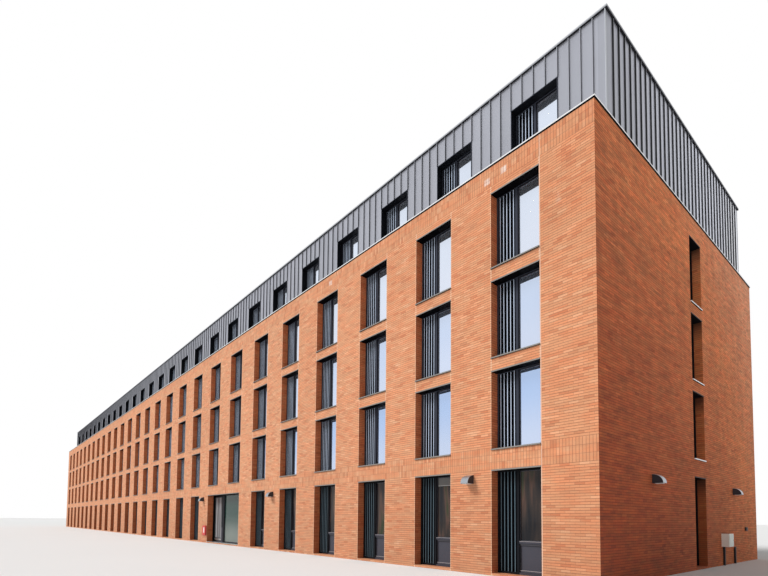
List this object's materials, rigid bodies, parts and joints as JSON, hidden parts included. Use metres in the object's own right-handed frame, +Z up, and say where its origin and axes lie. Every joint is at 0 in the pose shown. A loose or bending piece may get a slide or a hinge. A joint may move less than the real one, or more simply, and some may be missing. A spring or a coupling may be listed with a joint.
{
  "type": "apartment block, scale model 1:10",
  "caption": "Long five-storey brick apartment block at 1:10, with finned windows in deep reveals, a set-back metal-clad attic storey and a glazed entrance door that opens.",
  "frame": {"origin": "middle of the underside of the whole block", "axes": "+X along the long front towards the gable with the wall lights, +Y from the entrance front to the rear, +Z up"},
  "size_m": [9.24, 1.604, 1.638],
  "materials": {
    "front_brick": "rough",
    "gable_brick": "rough",
    "concrete": "matte",
    "zinc": "satin",
    "roofing": "matte",
    "flashing_metal": "satin",
    "anthracite_metal": "satin",
    "glazing": "polished",
    "steel": "brushed",
    "grey_enamel": "satin",
    "red_enamel": "satin"
  },
  "bodies": {
    "building": {"front_piers": "front_brick", "front_bands": "front_brick", "rear_piers": "front_brick", "rear_bands": "front_brick", "right_gable_sides": "gable_brick", "right_gable_bands": "gable_brick", "left_gable_sides": "gable_brick", "left_gable_bands": "gable_brick", "ground_floor": "concrete", "first_floor": "concrete", "second_floor": "concrete", "third_floor": "concrete", "attic_floor": "concrete", "attic_piers": "concrete", "attic_lintels": "concrete", "attic_end_walls": "concrete", "pier_cladding": "zinc", "head_cladding": "zinc", "gable_cladding": "zinc", "roof_slab": "roofing", "roof_coping": "flashing_metal", "parapet_flashing": "flashing_metal", "front_frames": "anthracite_metal", "front_fins": "anthracite_metal", "front_panes": "glazing", "front_trim": "anthracite_metal", "rear_frames": "anthracite_metal", "rear_panes": "glazing", "rear_sills": "anthracite_metal", "attic_frames": "anthracite_metal", "attic_fins": "anthracite_metal", "attic_panes": "glazing", "gable_frames": "anthracite_metal", "gable_panes": "glazing", "gable_trim": "flashing_metal", "entrance_frame": "anthracite_metal", "entrance_pane": "glazing", "door_hinges": "steel", "wall_lights": "grey_enamel", "meter_box": "grey_enamel", "riser_cabinet": "red_enamel"},
    "door": {"entrance_door": "anthracite_metal", "door_glass": "glazing", "door_handle": "steel"}
  },
  "joints": [
    {"name": "entrance_door_swing", "type": "hinge", "parent": "building", "child": "door", "pos_m": [1.92075, -0.7155, 0.0075], "axis": [0, 0, 1], "range_deg": [0, 90]}
  ]
}
